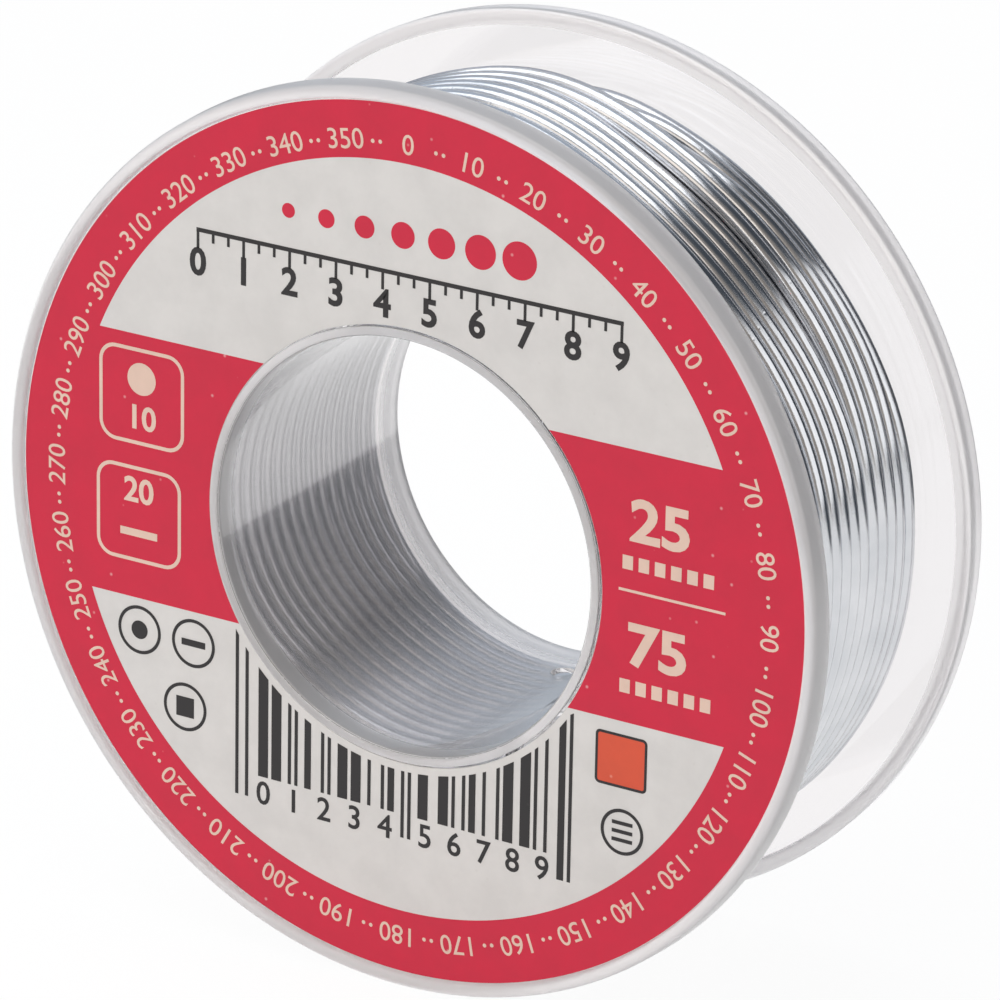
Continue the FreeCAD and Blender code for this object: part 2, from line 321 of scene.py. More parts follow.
def ramp(tree, factor, stops):
    """A colour ramp from pairs of place and colour or grey level."""
    node = add(tree, "ShaderNodeValToRGB", None, Fac=factor)
    elements = node.color_ramp.elements
    while len(elements) < len(stops):
        elements.new(0.5)
    for element, (place, colour) in zip(elements, stops):
        element.position = place
        element.color = (colour, colour, colour, 1) if isinstance(colour, float) else (*colour, 1)
    return node.outputs["Color"]


def mix_colours(tree, factor, first, second):
    """Two colours or sockets, mixed: the first where the factor is 0."""
    node = add(tree, "ShaderNodeMix", {"data_type": "RGBA"}, Factor=factor, i6=first, i7=second)
    return node.outputs[2]


def srgb(red, green, blue):
    """Linear colour from display values of 0 to 255."""
    def linear(value):
        value /= 255
        return value / 12.92 if value <= 0.04045 else ((value + 0.055) / 1.055) ** 2.4
    return linear(red), linear(green), linear(blue)


def object_place(tree):
    return tree.nodes.new("ShaderNodeTexCoord").outputs["Object"]


def scaled(tree, vector, scale):
    node = add(tree, "ShaderNodeMapping", {"vector_type": "POINT"}, Vector=vector)
    node.inputs["Scale"].default_value = scale
    return node.outputs["Vector"]


def axis_place(tree):
    """X, Y and Z in millimetres, and the distance from the spool's axis."""
    in_mm = scaled(tree, object_place(tree), (1 / MM, 1 / MM, 1 / MM))
    x, y, z = add(tree, "ShaderNodeSeparateXYZ", None, Vector=in_mm).outputs
    square = arithmetic(tree, "ADD", product(tree, x, x), product(tree, z, z))
    return x, y, z, arithmetic(tree, "SQRT", square)


# Materials
def clear_plastic():
    """Clear moulded polystyrene: faint waves, fine scuffs and matt rims. Lamps reach through it."""
    material, tree, shader, output = new_material("clear_polystyrene")
    shader.inputs["Base Color"].default_value = (0.92, 0.9, 0.905, 1)
    shader.inputs["IOR"].default_value = 1.58
    place = object_place(tree)
    waves = add(tree, "ShaderNodeTexNoise", None, Vector=place, Scale=170.0, Detail=1.5)
    scuffs = add(tree, "ShaderNodeTexNoise", None, Vector=scaled(tree, place, (1, 1, 0.3)),
                 Scale=2600.0, Detail=4.0, Roughness=0.7)
    scuffed = ramp(tree, scuffs.outputs["Fac"], ((0.55, 0.035), (0.8, 0.16)))
    _, y, _, radius = axis_place(tree)
    reach = arithmetic(tree, "ABSOLUTE", y)
    on_rim = fade(tree, radius, RECESS_RADIUS, RIM_FADE)
    on_end = fade(tree, reach, HALF_WIDTH - HUB_END_DROP, END_FADE)
    matt = arithmetic(tree, "MAXIMUM", on_rim, on_end)
    on_bore = arithmetic(tree, "LESS_THAN", radius, BORE_RADIUS + BORE_MARGIN)
    bore_haze = product(tree, on_bore, fade(tree, reach, INNER_HALF_WIDTH, BORE_FADE, BORE_HAZE))
    haze = arithmetic(tree, "MAXIMUM", matt, bore_haze)
    roughness = arithmetic(tree, "MULTIPLY_ADD", haze, MATT_ROUGHNESS, scuffed)
    tree.links.new(roughness, shader.inputs["Roughness"])
    clearness = arithmetic(tree, "SUBTRACT", 1.0, product(tree, haze, MILKINESS))
    tree.links.new(clearness, shader.inputs["Transmission Weight"])
    # The bore's wall is as smooth as the mould's pin
    tree.links.new(on_bore, shader.inputs["Coat Weight"])
    shader.inputs["Coat Roughness"].default_value = 0.04
    shader.inputs["Coat IOR"].default_value = 1.65
    bump = add(tree, "ShaderNodeBump", None, Height=waves.outputs["Fac"],
               Strength=0.06, Distance=0.0005)
    tree.links.new(bump.outputs["Normal"], shader.inputs["Normal"])
    # The hub is welded into the flanges, so light crosses their seat unbent
    seat_middle = HUB_RADIUS + SEAT_GAP / 2
    off_seat = arithmetic(tree, "ABSOLUTE", arithmetic(tree, "SUBTRACT", radius, seat_middle))
    on_seat = arithmetic(tree, "LESS_THAN", off_seat, SEAT_GAP)
    in_flange = arithmetic(tree, "GREATER_THAN", reach, INNER_HALF_WIDTH + SEAT_MARGIN)
    below_recess = arithmetic(tree, "LESS_THAN", reach, -LABEL_BACK - SEAT_MARGIN)
    seat = product(tree, on_seat, product(tree, in_flange, below_recess))
    unbent = add(tree, "ShaderNodeBsdfTransparent", None, Color=WHITE)
    welded = add(tree, "ShaderNodeMixShader", None, Fac=seat,
                 i1=shader.outputs[0], i2=unbent.outputs[0])
    shadow = tree.nodes.new("ShaderNodeLightPath").outputs["Is Shadow Ray"]
    through = add(tree, "ShaderNodeBsdfTransparent", None, Color=(0.9, 0.905, 0.91, 1))
    mix = add(tree, "ShaderNodeMixShader", None, Fac=shadow,
              i1=welded.outputs[0], i2=through.outputs[0])
    tree.links.new(mix.outputs[0], output.inputs["Surface"])
    return material


def solder():
    """Bright drawn tin-lead wire: lines along the wire, pits and a light grey tarnish."""
    material, tree, shader, _ = new_material("tin_lead_solder")
    x, y, z, radius = axis_place(tree)
    # This place changes slowly along a turn and fast across it
    across = arithmetic(tree, "ADD", product(tree, radius, 1.7), y)
    along = add(tree, "ShaderNodeCombineXYZ", None,
                X=product(tree, arithmetic(tree, "DIVIDE", x, radius), 9.0),
                Y=product(tree, arithmetic(tree, "DIVIDE", z, radius), 9.0),
                Z=product(tree, across, 14.0))
    lines = add(tree, "ShaderNodeTexNoise", None, Vector=along.outputs[0],
                Scale=1.0, Detail=5.0, Roughness=0.65)
    cloud = add(tree, "ShaderNodeTexNoise", None, Vector=object_place(tree),
                Scale=330.0, Detail=3.0)
    pits = add(tree, "ShaderNodeTexVoronoi", {"feature": "F1"}, Vector=object_place(tree),
               Scale=1300.0)
    pit_mask = ramp(tree, pits.outputs["Distance"], ((0.0, 0.0), (0.16, 1.0)))
    tarnish = ((0.3, srgb(206, 208, 212)), (0.7, srgb(220, 221, 224)))
    tree.links.new(ramp(tree, cloud.outputs["Fac"], tarnish), shader.inputs["Base Color"])
    shader.inputs["Metallic"].default_value = 1.0
    roughness = ramp(tree, lines.outputs["Fac"], ((0.3, 0.11), (0.75, 0.22)))
    tree.links.new(roughness, shader.inputs["Roughness"])
    line_bump = add(tree, "ShaderNodeBump", None, Height=lines.outputs["Fac"],
                    Strength=0.12, Distance=0.00003)
    pit_bump = add(tree, "ShaderNodeBump", None, Height=pit_mask,
                   Normal=line_bump.outputs["Normal"], Strength=0.2, Distance=0.00002)
    tree.links.new(pit_bump.outputs["Normal"], shader.inputs["Normal"])
    return material


def rosin():
    """Amber flux, glassy with a cloudy fleck."""
    material, tree, shader, _ = new_material("amber_rosin")
    cloud = add(tree, "ShaderNodeTexNoise", None, Vector=object_place(tree),
                Scale=3000.0, Detail=3.0)
    amber = ((0.3, srgb(190, 122, 36)), (0.7, srgb(222, 168, 78)))
    tree.links.new(ramp(tree, cloud.outputs["Fac"], amber), shader.inputs["Base Color"])
    shader.inputs["Roughness"].default_value = 0.2
    shader.inputs["Subsurface Weight"].default_value = 0.3
    shader.inputs["Subsurface Scale"].default_value = 0.0003
    return material


def printed(name, colour, fleck, fleck_amount):
    """Ink or bare stock of the coated label paper: fine grain, faint mottling and tiny flecks."""
    material, tree, shader, _ = new_material(name)
    place = object_place(tree)
    mottle = add(tree, "ShaderNodeTexNoise", None, Vector=place,
                 Scale=420.0, Detail=4.0, Roughness=0.6)
    grain = add(tree, "ShaderNodeTexNoise", None, Vector=place, Scale=5200.0, Detail=2.0)
    darker = tuple(channel * 0.93 for channel in colour)
    base = ramp(tree, mottle.outputs["Fac"], ((0.35, darker), (0.65, colour)))
    specks = add(tree, "ShaderNodeTexVoronoi", {"feature": "F1"}, Vector=place, Scale=620.0)
    speck_mask = ramp(tree, specks.outputs["Distance"], ((0.0, fleck_amount), (0.075, 0.0)))
    tree.links.new(mix_colours(tree, speck_mask, base, (*fleck, 1)), shader.inputs["Base Color"])
    shader.inputs["Specular IOR Level"].default_value = 0.5
    roughness = ramp(tree, mottle.outputs["Fac"], ((0.3, 0.3), (0.7, 0.4)))
    tree.links.new(roughness, shader.inputs["Roughness"])
    bump = add(tree, "ShaderNodeBump", None, Height=grain.outputs["Fac"],
               Strength=0.15, Distance=0.00002)
    tree.links.new(bump.outputs["Normal"], shader.inputs["Normal"])
    return material


CLEAR = clear_plastic()
SOLDER = solder()
ROSIN = rosin()
PAPER = printed("label_paper", srgb(225, 223, 221), srgb(200, 196, 190), 0.25)
RED = printed("label_red_ink", srgb(212, 14, 58), srgb(236, 190, 190), 0.8)
DARK = printed("label_dark_ink", srgb(26, 21, 23), srgb(90, 86, 86), 0.2)
CREAM = printed("label_knocked_out_print", srgb(236, 205, 188), srgb(226, 160, 150), 0.3)
ORANGE = printed("label_orange_ink", srgb(224, 84, 52), srgb(240, 190, 170), 0.5)


# Lathed clear plastic
def rounded_outline(corners):
    """Points of a closed outline from corners of radius, depth and rounding, each an arc."""
    outline = []
    count = len(corners)
    for index, (x, y, rounding) in enumerate(corners):
        here = Vector((x, y))
        if not rounding:
            outline.append((x, y))
            continue
        before = (Vector(corners[index - 1][:2]) - here).normalized()
        after = (Vector(corners[(index + 1) % count][:2]) - here).normalized()
        half_angle = before.angle(after) / 2
        reach = rounding / math.tan(half_angle)
        centre = here + (before + after).normalized() * rounding / math.sin(half_angle)
        first = here + before * reach - centre
        last = here + after * reach - centre
        for step in range(ARC_STEPS + 1):
            mixed = first.slerp(last, step / ARC_STEPS, first)
            outline.append(tuple(centre + mixed.normalized() * rounding))
    return outline


def lathe(name, corners, segments=LATHE_SEGMENTS):
    """A closed ring turned round the Y axis from its outline."""
    outline = rounded_outline(corners)
    count = len(outline)
    angles = np.linspace(0, 2 * math.pi, segments, endpoint=False)
    points = [(radius * math.cos(angle), depth, radius * math.sin(angle))
              for angle in angles for radius, depth in outline]
    faces = []
    for turn in range(segments):
        here = turn * count
        beyond = (turn + 1) % segments * count
        for index in range(count):
            after = (index + 1) % count
            faces.append((here + index, here + after, beyond + after, beyond + index))
    mesh = mesh_from(name, points, faces)
    fix_normals(mesh)
    return mesh


def add_rod(shape, middle, radius, length, segments):
    """Adds a closed cylinder in the start hole's direction to a bmesh."""
    turn = START_HOLE_OUTWARDS.to_track_quat("Z", "Y").to_matrix().to_4x4()
    bmesh.ops.create_cone(shape, cap_ends=True, segments=segments, radius1=radius * MM,
                          radius2=radius * MM, depth=length * MM,
                          matrix=Matrix.Translation(middle * MM) @ turn)


def evaluated_mesh(thing):
    """A new mesh of an object with its modifiers, or its curve's faces."""
    depsgraph = bpy.context.evaluated_depsgraph_get()
    return bpy.data.meshes.new_from_object(thing.evaluated_get(depsgraph))


def make_hub():
    mesh = lathe("clear_hub", (
        (BORE_RADIUS, HUB_END_DROP - HALF_WIDTH, HUB_ROUND),
        (HUB_END_RADIUS, HUB_END_DROP - HALF_WIDTH, HUB_FRONT_EDGE_ROUND),
        (HUB_END_RADIUS, LABEL_BACK, 0),
        (HUB_RADIUS, LABEL_BACK, 0),
        (HUB_RADIUS, HALF_WIDTH, HUB_EDGE_ROUND),
        (BORE_RADIUS, HALF_WIDTH, HUB_ROUND),
    ))
    cutter_mesh = bpy.data.meshes.new("start_hole_cutter")
    shape = bmesh.new()
    middle = START_HOLE_OUTWARDS * (BORE_RADIUS + HUB_RADIUS) / 2 + START_HOLE_PLACE
    add_rod(shape, middle, START_HOLE_RADIUS, START_HOLE_CUT, 32)
    shape.to_mesh(cutter_mesh)
    shape.free()
    cutter = bpy.data.objects.new("start_hole_cutter", cutter_mesh)
    bpy.context.scene.collection.objects.link(cutter)
    whole = bpy.data.objects.new("hub_whole", mesh)
    bpy.context.scene.collection.objects.link(whole)
    cut = whole.modifiers.new("start_hole", "BOOLEAN")
    cut.operation = "DIFFERENCE"
    cut.object = cutter
    cut.solver = "EXACT"
    drilled = evaluated_mesh(whole)
    drilled.name = "clear_hub"
    bpy.data.objects.remove(whole)
    bpy.data.objects.remove(cutter)
    hub = link("clear_hub", drilled, CLEAR)
    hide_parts("hub_tube")


def make_flange(name, node, side):
    """side is -1 for the front flange and 1 for the back one."""
    outer = side * HALF_WIDTH
    inner = side * INNER_HALF_WIDTH
    floor = side * -LABEL_BACK
    seat = HUB_RADIUS + SEAT_GAP
    mesh = lathe(name, (
        (seat, floor, 0),
        (RECESS_RADIUS, floor, LIP_FOOT_ROUND),
        (RECESS_RADIUS, outer, LIP_ROUND),
        (FLANGE_RADIUS - RIM_DRAFT, outer, RIM_ROUND),
        (FLANGE_RADIUS, inner, RIM_EDGE_ROUND),
        (seat, inner, 0),
    ), FINE_LATHE_SEGMENTS)
    flange = link(name, mesh, CLEAR)
    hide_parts(node)


# Wire
def crossover(angle):
    """How many turns the wire has moved along by an angle, each within the crossover zone."""
    turns = (angle - CROSSOVER_CENTRE) / (2 * math.pi)
    whole = np.floor(turns + 0.5)
    part = (turns - whole) * 2 * math.pi / CROSSOVER_SPAN
    eased = np.clip(part + 0.5, 0, 1)
    return whole + eased * eased * (3 - 2 * eased) - 1


def waver(angle, seed, amplitude):
    """A smooth small wander along the wire."""
    draw = random.Random(seed)
    total = np.zeros_like(angle)
    for rate in (0.31, 0.73, 1.37, 2.9):
        total += np.sin(angle * rate + draw.uniform(0, 6.28)) * amplitude / (1 + rate)
    return total


def layer_path(layer, first_angle, samples_per_turn):
    """Angle, radius and depth along one layer. Even layers run to the front, odd ones back."""
    turns = EVEN_LAYER_TURNS if layer % 2 == 0 else EVEN_LAYER_TURNS - 1
    count = turns * samples_per_turn
    angle = first_angle - np.arange(count + 1) * 2 * math.pi / samples_per_turn
    mirrored = 2 * CROSSOVER_CENTRE - angle
    passed = crossover(mirrored) - crossover(mirrored[:1])
    frontmost = END_TURN_DEPTH - (EVEN_LAYER_TURNS - 1) * TURN_PITCH
    # Within the first crossover the wire climbs by half a pitch from the layer below
    climb = np.minimum(passed, 1)
    if layer % 2 == 0:
        half_pitch = TURN_PITCH / 2 if layer else 0
        depth = END_TURN_DEPTH - half_pitch * (1 - climb) - (passed - climb) * TURN_PITCH
    else:
        depth = frontmost + (passed - climb + climb / 2) * TURN_PITCH
    radius = np.full(count + 1, FIRST_LAYER_RADIUS + layer * LAYER_STEP)
    return angle, radius, depth


def wire_path(layers, samples_per_turn):
    """The path through several layers, which climbs smoothly between them in the crossover."""
    angles, radii, depths = [], [], []
    first_angle = CROSSOVER_CENTRE + CROSSOVER_SPAN / 2
    for layer in layers:
        angle, radius, depth = layer_path(layer, first_angle, samples_per_turn)
        keep = slice(0, -1) if layer != layers[-1] else slice(0, None)
        angles.append(angle[keep])
        radii.append(radius[keep])
        depths.append(depth[keep])
        first_angle = angle[-1]
    return np.concatenate(angles), np.concatenate(radii), np.concatenate(depths)


def top_turn(turn):
    """Depths and radii of one turn of the top layer at TOP_ANGLES."""
    last = len(TOP_DEPTHS) - 1
    depths = np.array(TOP_DEPTHS[min(turn, last)])
    if turn > last:
        # The turns further forward share the space left up to the front flange
        depths += (-END_TURN_DEPTH - depths) * (turn - last) / (TOP_TURNS - 1 - last)
    sinks = np.array(TOP_SINKS[min(turn, len(TOP_SINKS) - 1)], float)
    return depths, TOP_RADIUS - sinks


def top_path(angle, radius, depth, samples_per_turn):
    """Carries a path on from the back flange through the top layer, to an end out of sight."""
    key_angles, key_depths, key_radii = [angle[-1]], [depth[-1]], [radius[-1]]
    first_turn = math.floor((math.degrees(angle[-1]) - TOP_ANGLES[0]) / 360) * 360
    for turn in range(TOP_TURNS):
        depths, radii = top_turn(turn)
        key_angles.extend(math.radians(place + first_turn - 360 * turn) for place in TOP_ANGLES)
        key_depths.extend(depths)
        key_radii.extend(radii)
        if turn < CROSSED_TURNS:
            key_angles.append(math.radians(CROSSED_ANGLE + first_turn - 360 * turn))
            key_depths.append(depths[-1] - CROSSED_STEP)
            key_radii.append(TOP_RADIUS - CROSSED_SINK)
    last_angle = key_angles[-1] - FREE_END_REACH
    key_angles.append(last_angle)
    key_depths.append(key_depths[-1])
    key_radii.append(key_radii[-1])
    count = int((angle[-1] - last_angle) / (2 * math.pi) * samples_per_turn)
    top = angle[-1] - np.arange(1, count + 1) * 2 * math.pi / samples_per_turn
    top_depth = np.interp(-top, -np.array(key_angles), key_depths)
    top_radius = np.interp(-top, -np.array(key_angles), key_radii)
    return (np.concatenate((angle, top)), np.concatenate((radius, top_radius)),
            np.concatenate((depth, top_depth)))


def smooth(values, width):
    """The values averaged over a window of that width, as many as before."""
    kernel = np.hanning(width + 2)[1:-1]
    padded = np.pad(values, width // 2, mode="edge")
    return np.convolve(padded, kernel / kernel.sum(), mode="valid")[:len(values)]


def tube_mesh(name, path, radius, sides):
    """A round tube along a path of points, with flat ends."""
    tangent = np.gradient(path, axis=0)
    tangent /= np.linalg.norm(tangent, axis=1)[:, None]
    outwards = path * np.array([1, 0, 1])
    outwards -= (outwards * tangent).sum(axis=1)[:, None] * tangent
    outwards /= np.linalg.norm(outwards, axis=1)[:, None]
    sideways = np.cross(tangent, outwards)
    turn = np.arange(sides) * 2 * math.pi / sides
    ring = (outwards[:, None, :] * np.cos(turn)[None, :, None]
            + sideways[:, None, :] * np.sin(turn)[None, :, None]) * radius
    points = (path[:, None, :] + ring).reshape(-1, 3)
    rows = len(path)
    row_starts = np.arange(rows - 1)[:, None] * sides
    low = row_starts + np.arange(sides)[None, :]
    across = row_starts + (np.arange(sides)[None, :] + 1) % sides
    quads = np.stack((low, across, across + sides, low + sides), axis=-1)
    faces = quads.reshape(-1, 4).tolist()
    faces.append(tuple(range(sides - 1, -1, -1)))
    faces.append(tuple((rows - 1) * sides + index for index in range(sides)))
    mesh = mesh_from(name, points, faces)
    fix_normals(mesh)
    return mesh


def wire_points(angle, radius, depth, seed):
    """Points of the wire's middle, wandering a little but kept off the hub and flanges."""
    depth = depth + waver(angle, seed, WANDER)
    radius = np.maximum(radius + waver(angle, seed + 1, WANDER * 0.6), HUB_RADIUS + WIRE_ROOM)
    depth = np.clip(depth, -INNER_HALF_WIDTH + WIRE_ROOM, INNER_HALF_WIDTH - WIRE_ROOM)
    return np.stack((radius * np.cos(angle), depth, radius * np.sin(angle)), axis=1)


def dip(angle):
    """How far the layer below lies under the dip of the top one, of 0 to 1."""
    place = (np.degrees(angle) + 180) % 360 - 180
    return np.interp(place, DIP_ANGLES, (0, 1, 1, 0))


def make_wire():
    angle, radius, depth = wire_path(range(FULL_LAYERS - 1), INNER_SAMPLES)
    inner = wire_points(angle, smooth(radius, 9), smooth(depth, 5), INNER_SEED)
    inner_mesh = tube_mesh("solder_inner_layers", inner, WIRE_RADIUS, INNER_SIDES)
    inner_wire = link("solder_inner_layers", inner_mesh, SOLDER, WIRE_SMOOTH_ANGLE)
    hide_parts("inner_winding")

    angle, radius, depth = wire_path((FULL_LAYERS - 1,), OUTER_SAMPLES)
    radius = radius - DIP_DROP * dip(angle)
    angle, radius, depth = top_path(angle, radius, depth, OUTER_SAMPLES)
    outer = wire_points(angle, smooth(radius, 9), smooth(depth, 9), OUTER_SEED)
    outer_mesh = tube_mesh("solder_outer_layers", outer, WIRE_RADIUS, OUTER_SIDES)
    outer_wire = link("solder_outer_layers", outer_mesh, SOLDER, WIRE_SMOOTH_ANGLE)
    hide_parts("outer_turns")

    end = outer[-4:] + (outer[-1] - outer[-2]) * ROSIN_REACH
    core_mesh = tube_mesh("rosin_end", end, ROSIN_RADIUS, 12)
    core = link("rosin_end", core_mesh, ROSIN, WIRE_SMOOTH_ANGLE)
    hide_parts("rosin_core")


def make_wire_start():
    """The wire's start, standing in the hub's small hole."""
    shape = bmesh.new()
    middle = START_HOLE_OUTWARDS * (START_FOOT + START_TOP) / 2 + START_HOLE_PLACE
    add_rod(shape, middle, WIRE_RADIUS, START_TOP - START_FOOT, 28)
    rim = [edge for edge in shape.edges if edge.calc_face_angle() > 1]
    bmesh.ops.bevel(shape, geom=rim, offset=START_BEVEL * MM, segments=3, affect="EDGES")
    mesh = bpy.data.meshes.new("solder_start")
    shape.to_mesh(mesh)
    shape.free()
    start = link("solder_start", mesh, SOLDER)
    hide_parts("wire_start")


# Label
def thickened(mesh, amount):
    """The points of flat upright faces, with their outline moved outwards by an amount."""
    points = np.array([vertex.co[:2] for vertex in mesh.vertices])
    edges = {(face.vertices[index - 1], face.vertices[index])
             for face in mesh.polygons for index in range(len(face.vertices))}
    normals = [[] for _ in points]
    for first, second in edges:
        along = points[second] - points[first]
        length = math.hypot(*along)
        if (second, first) in edges or not length:
            continue
        for point in (first, second):
            normals[point].append(np.array((along[1], -along[0])) / length)
    for point, sides in enumerate(normals):
        if len(sides) > 1:
            points[point] += sum(sides) / max(1 + sides[0] @ sides[-1], 0.5) * amount
        elif sides:
            points[point] += sides[0] * amount
    return points


def on_circle(centre, radius, angles):
    return [(centre[0] + radius * math.cos(angle), centre[1] + radius * math.sin(angle))
            for angle in angles]


class Print:
    """Flat shapes of one ink on the label's plane, gathered into one piece."""

    def __init__(self, name, material, lift):
        self.name = name
        self.material = material
        self.lift = lift
        self.points = []
        self.faces = []

    def polygon(self, outline):
        start = len(self.points)
        self.points.extend(outline)
        self.faces.append(tuple(range(start, start + len(outline))))

    def strip(self, first, second):
        """Quads between two lines of as many points."""
        start = len(self.points)
        count = len(first)
        self.points.extend(first)
        self.points.extend(second)
        for index in range(count - 1):
            self.faces.append((start + index, start + index + 1,
                               start + count + index + 1, start + count + index))

    def ring(self, centre, outer, inner):
        angles = np.linspace(0, 2 * math.pi, 49)
        self.strip(on_circle(centre, outer, angles), on_circle(centre, inner, angles))

    def disc(self, centre, radius, steps=40):
        self.polygon(on_circle(centre, radius, np.linspace(0, 2 * math.pi, steps, endpoint=False)))

    def box(self, left, low, right, high):
        self.polygon([(left, low), (right, low), (right, high), (left, high)])

    def frame(self, left, low, right, high, line, corner):
        """A rounded rectangle's outline."""
        outer, inner = [], []
        for quadrant, (x, y) in enumerate(((right, high), (left, high), (left, low), (right, low))):
            centre_x = x - corner if x == right else x + corner
            centre_y = y - corner if y == high else y + corner
            centre = (centre_x, centre_y)
            angles = np.linspace(quadrant * math.pi / 2, (quadrant + 1) * math.pi / 2, 9)
            outer.extend(on_circle(centre, corner, angles))
            inner.extend(on_circle(centre, corner - line, angles))
        self.strip(outer + outer[:1], inner + inner[:1])

    def number(self, words, place, height, turn=0.0, bold=0.0, stretch=1.0):
        """Plain digits, centred on place, with that cap height."""
        curve = bpy.data.curves.new("digits", "FONT")
        curve.body = words
        curve.align_x = "CENTER"
        curve.align_y = "CENTER"
        curve.resolution_u = 4
        holder = bpy.data.objects.new("digits", curve)
        bpy.context.scene.collection.objects.link(holder)
        mesh = evaluated_mesh(holder)
        scale = height / FONT_CAP_HEIGHT
        start = len(self.points)
        for x, y in thickened(mesh, bold):
            x, y = x * scale * stretch, y * scale
            self.points.append((place[0] + x * math.cos(turn) - y * math.sin(turn),
                                place[1] + x * math.sin(turn) + y * math.cos(turn)))
        for face in mesh.polygons:
            self.faces.append(tuple(start + index for index in face.vertices))
        bpy.data.objects.remove(holder)
        bpy.data.meshes.remove(mesh)
        bpy.data.curves.remove(curve)

    def finish(self):
        """Lays the shapes on the label, turned by the tilt at which it was stuck on."""
        cosine, sine = math.cos(LABEL_TILT), math.sin(LABEL_TILT)
        depth = LABEL_FACE - self.lift
        points = [(x * cosine - z * sine + LABEL_SHIFT, depth, x * sine + z * cosine)
                  for x, z in self.points]
        mesh = mesh_from(self.name, points, self.faces)
        shape = bmesh.new()
        shape.from_mesh(mesh)
        bmesh.ops.recalc_face_normals(shape, faces=shape.faces)
        for face in shape.faces:
            if face.normal.y > 0:
                face.normal_flip()
        shape.to_mesh(mesh)
        shape.free()
        piece = link(self.name, mesh, self.material)


def make_paper():
    mesh = lathe("label_paper_ring", (
        (LABEL_HOLE_RADIUS, LABEL_FACE, LABEL_EDGE_ROUND),
        (LABEL_EDGE_RADIUS, LABEL_FACE, LABEL_EDGE_ROUND),
        (LABEL_EDGE_RADIUS, LABEL_BACK + LABEL_SINK, 0),
        (LABEL_HOLE_RADIUS, LABEL_BACK + LABEL_SINK, 0),
    ), FINE_LATHE_SEGMENTS)
    mesh.transform(Matrix.Translation((LABEL_SHIFT * MM, 0, 0)))
    paper = link("label_paper_ring", mesh, PAPER)
    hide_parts("front_label")


def circle_x(radius, height):
    return math.sqrt(max(radius ** 2 - height ** 2, 0))


def make_red_print():
    red = Print("label_red_print", RED, PRINT_LIFT)
    angles = np.linspace(0, 2 * math.pi, 257)
    red.strip(on_circle((0, 0), LABEL_EDGE_RADIUS - PRINT_MARGIN, angles),
              on_circle(RING_SHIFT, RING_INNER_RADIUS, angles))
    # A band across the label, from the hole to the ring on each side
    hole = LABEL_HOLE_RADIUS + PRINT_MARGIN
    for side in (-1, 1):
        near, far = [], []
        for height in np.linspace(LOWER_FIELD_TOP, UPPER_FIELD_FLOOR, 65):
            near.append((side * circle_x(hole, height), height))
            far_x = circle_x(RING_INNER_RADIUS, height - RING_SHIFT[1])
            far.append((RING_SHIFT[0] + side * far_x, height))
        red.strip(near, far)
    # A row of dots that grow in size, as on a wire gauge chart
    for index in range(GAUGE_DOTS):
        place = (GAUGE_START[0] + index * GAUGE_PITCH, GAUGE_START[1])
        red.disc(place, GAUGE_RADIUS + index * GAUGE_GROWTH)
    red.finish()


def print_ruler(dark):
    """A ruler with plain numbers across the upper field."""
    dark.box(RULER_START - 0.1, RULER_LINE, 0.1 - RULER_START, RULER_LINE + 0.25)
    for index in range(28):
        x = RULER_START + index
        drop = 0.95 if index % 3 == 0 else 0.5
        dark.box(x - 0.09, RULER_LINE - drop, x + 0.09, RULER_LINE)
    for index in range(10):
        dark.number(str(index), (RULER_START + 3 * index, RULER_NUMBERS_HEIGHT), 1.5, bold=0.03)


def print_bars(dark):
    """Bars of uneven width below the hole, with two groups of plain digits between longer bars."""
    hole = LABEL_HOLE_RADIUS + 0.35
    bars = []
    x = BARS_LEFT
    while x < BARS_RIGHT:
        index = len(bars)
        width = BAR_UNIT * (1 + (index * index * 5 + index * 3) % 7 // 2)
        bars.append((x, x + width))
        x += width + BAR_UNIT * (1 + (index * 7 + 2) % 5 // 2)
    half = len(bars) // 2
    long_bars = (0, 1, half, half + 1, len(bars) - 2, len(bars) - 1)
    for index, (left, right) in enumerate(bars):
        top_left, top_right = (min(LOWER_FIELD_TOP - 0.25, -circle_x(hole, edge) - 0.1)
                               for edge in (left, right))
        foot = GUARD_BARS_FOOT if index in long_bars else BARS_FOOT
        dark.polygon([(left, foot), (right, foot), (right, top_right), (left, top_left)])
    for group in (0, 1):
        left = bars[long_bars[1 + 2 * group]][1]
        right = bars[long_bars[2 + 2 * group]][0]
        for index in range(5):
            place = left + (right - left) * (index + 0.5) / 5
            dark.number(str(index + 5 * group), (place, BAR_NUMBERS_HEIGHT), 1.35, bold=0.012)


def print_marks(dark):
    """Plain round and square marks beside the bars."""
    outer, inner = 1.45, 1.25
    dark.ring((-17.4, -8.75), outer, inner)
    dark.disc((-17.4, -8.75), 0.55)
    dark.ring((-13.75, -8.75), outer, inner)
    dark.box(-14.55, -8.95, -12.95, -8.55)
    dark.ring((-14.3, -12.7), outer, inner)
    dark.box(-14.9, -13.3, -13.7, -12.1)
    dark.frame(12.5, -10.75, 15.75, -7.6, 0.16, 0.3)
    dark.ring((14.3, -13.3), outer - 0.1, inner - 0.1)
    for index in range(3):
        low = -13.9 + index * 0.5
        dark.box(13.65, low, 14.95, low + 0.22)


def make_dark_print():
    dark = Print("label_dark_print", DARK, PRINT_LIFT * 2)
    print_ruler(dark)
    print_bars(dark)
    print_marks(dark)
    dark.finish()


def make_orange_print():
    orange = Print("label_orange_print", ORANGE, PRINT_LIFT)
    orange.box(12.58, -10.67, 15.67, -7.68)
    orange.finish()


